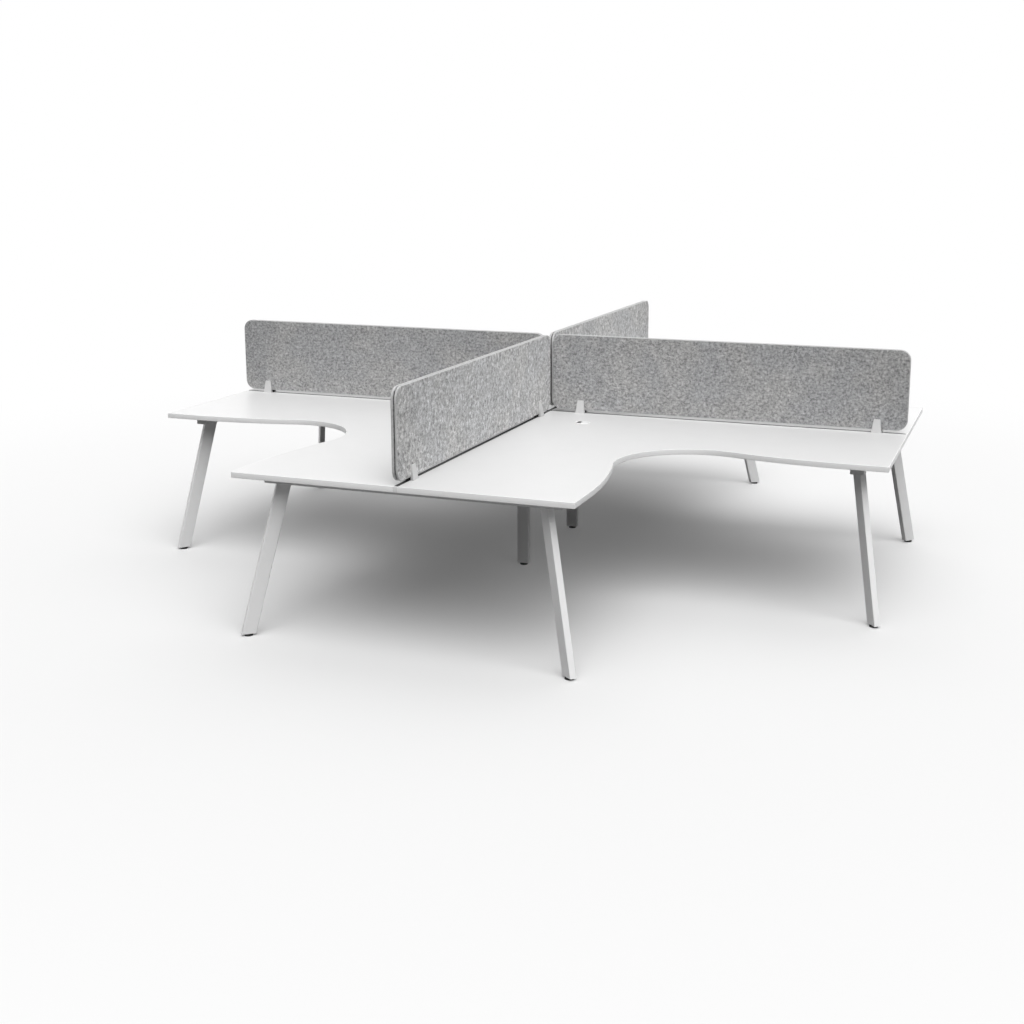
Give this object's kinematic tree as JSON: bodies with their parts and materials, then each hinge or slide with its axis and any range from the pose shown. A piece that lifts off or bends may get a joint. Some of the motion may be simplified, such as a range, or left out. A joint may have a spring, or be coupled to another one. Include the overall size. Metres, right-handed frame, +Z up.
{
  "type": "corner workstation",
  "caption": "Cluster of L-shaped corner desks with a concave inner edge, set back to back round a cross of felt screens on splayed steel legs.",
  "frame": {"origin": "on the floor below the middle of the cross of screens", "axes": "+Z up; +X along the right screen and -Y along the front screen, as the picture shows them"},
  "size_m": [3.62, 3.62, 1.125],
  "materials": {
    "white_laminate": "white melamine laminate on chipboard, satin",
    "edge_strip": "white edge strip, satin",
    "white_steel": "white powder coat, fine texture",
    "dark_steel": "black powder coat, fine texture",
    "white_plastic": "moulded white plastic",
    "white_clamp": "white powder coat, smooth",
    "grey_felt": "pressed polyester felt, mottled grey",
    "core_board": "dark core sheet",
    "black_plastic": "moulded black plastic",
    "bare_steel": "zinc plated"
  },
  "bodies": {
    "desk": {"desk_top_front_right": "white_laminate", "edge_band_front_right": "edge_strip", "desk_top_front_left": "white_laminate", "edge_band_front_left": "edge_strip", "desk_top_rear_left": "white_laminate", "edge_band_rear_left": "edge_strip", "desk_top_rear_right": "white_laminate", "edge_band_rear_right": "edge_strip", "grommet_sleeves": "white_plastic", "gap_end_caps": "white_plastic", "gap_strips": "black_plastic", "end_rail_right": "white_steel", "end_rail_rear": "white_steel", "end_rail_left": "white_steel", "end_rail_front": "white_steel", "spine_long": "dark_steel", "spine_right": "dark_steel", "spine_left": "dark_steel", "fixing_tabs": "dark_steel", "leg_right_rear": "white_steel", "leg_right_front": "white_steel", "leg_rear_left": "white_steel", "leg_rear_right": "white_steel", "leg_left_front": "white_steel", "leg_left_rear": "white_steel", "leg_front_right": "white_steel", "leg_front_left": "white_steel", "leg_centre_rear": "white_steel", "leg_centre_front": "white_steel", "foot_inserts": "black_plastic", "rail_end_caps": "white_plastic", "spine_plugs": "bare_steel", "frame_bolts": "bare_steel", "top_screws": "bare_steel", "screen_right_panel_rear": "grey_felt", "screen_right_panel_front": "grey_felt", "screen_rear_panel_left": "grey_felt", "screen_rear_panel_right": "grey_felt", "screen_left_panel_front": "grey_felt", "screen_left_panel_rear": "grey_felt", "screen_front_panel_right": "grey_felt", "screen_front_panel_left": "grey_felt", "screen_cores": "core_board", "clamp_plates": "white_clamp", "clamp_posts": "black_plastic", "clamp_bolts": "bare_steel"},
    "foot_right_rear": {"foot_right_rear": "black_plastic"},
    "foot_right_front": {"foot_right_front": "black_plastic"},
    "foot_rear_left": {"foot_rear_left": "black_plastic"},
    "foot_rear_right": {"foot_rear_right": "black_plastic"},
    "foot_left_front": {"foot_left_front": "black_plastic"},
    "foot_left_rear": {"foot_left_rear": "black_plastic"},
    "foot_front_right": {"foot_front_right": "black_plastic"},
    "foot_front_left": {"foot_front_left": "black_plastic"},
    "foot_centre_rear": {"foot_centre_rear": "black_plastic"},
    "foot_centre_front": {"foot_centre_front": "black_plastic"},
    "grommet_cap_front_right": {"grommet_cap_front_right": "white_plastic"},
    "grommet_cap_front_left": {"grommet_cap_front_left": "white_plastic"},
    "grommet_cap_rear_left": {"grommet_cap_rear_left": "white_plastic"},
    "grommet_cap_rear_right": {"grommet_cap_rear_right": "white_plastic"}
  },
  "joints": [
    {"name": "foot_right_rear_travel", "type": "slide", "parent": "desk", "child": "foot_right_rear", "axis": [0, 0, -1], "range_m": [0, 0.015]},
    {"name": "foot_right_front_travel", "type": "slide", "parent": "desk", "child": "foot_right_front", "axis": [0, 0, -1], "range_m": [0, 0.015]},
    {"name": "foot_rear_left_travel", "type": "slide", "parent": "desk", "child": "foot_rear_left", "axis": [0, 0, -1], "range_m": [0, 0.015]},
    {"name": "foot_rear_right_travel", "type": "slide", "parent": "desk", "child": "foot_rear_right", "axis": [0, 0, -1], "range_m": [0, 0.015]},
    {"name": "foot_left_front_travel", "type": "slide", "parent": "desk", "child": "foot_left_front", "axis": [0, 0, -1], "range_m": [0, 0.015]},
    {"name": "foot_left_rear_travel", "type": "slide", "parent": "desk", "child": "foot_left_rear", "axis": [0, 0, -1], "range_m": [0, 0.015]},
    {"name": "foot_front_right_travel", "type": "slide", "parent": "desk", "child": "foot_front_right", "axis": [0, 0, -1], "range_m": [0, 0.015]},
    {"name": "foot_front_left_travel", "type": "slide", "parent": "desk", "child": "foot_front_left", "axis": [0, 0, -1], "range_m": [0, 0.015]},
    {"name": "foot_centre_rear_travel", "type": "slide", "parent": "desk", "child": "foot_centre_rear", "axis": [0, 0, -1], "range_m": [0, 0.015]},
    {"name": "foot_centre_front_travel", "type": "slide", "parent": "desk", "child": "foot_centre_front", "axis": [0, 0, -1], "range_m": [0, 0.015]},
    {"name": "grommet_cap_front_right_turn", "type": "hinge", "parent": "desk", "child": "grommet_cap_front_right", "pos_m": [0.272, -0.272, 0.725], "axis": [0, 0, 1], "continuous": true},
    {"name": "grommet_cap_front_left_turn", "type": "hinge", "parent": "desk", "child": "grommet_cap_front_left", "pos_m": [-0.272, -0.272, 0.725], "axis": [0, 0, 1], "continuous": true},
    {"name": "grommet_cap_rear_left_turn", "type": "hinge", "parent": "desk", "child": "grommet_cap_rear_left", "pos_m": [-0.272, 0.272, 0.725], "axis": [0, 0, 1], "continuous": true},
    {"name": "grommet_cap_rear_right_turn", "type": "hinge", "parent": "desk", "child": "grommet_cap_rear_right", "pos_m": [0.272, 0.272, 0.725], "axis": [0, 0, 1], "continuous": true}
  ]
}
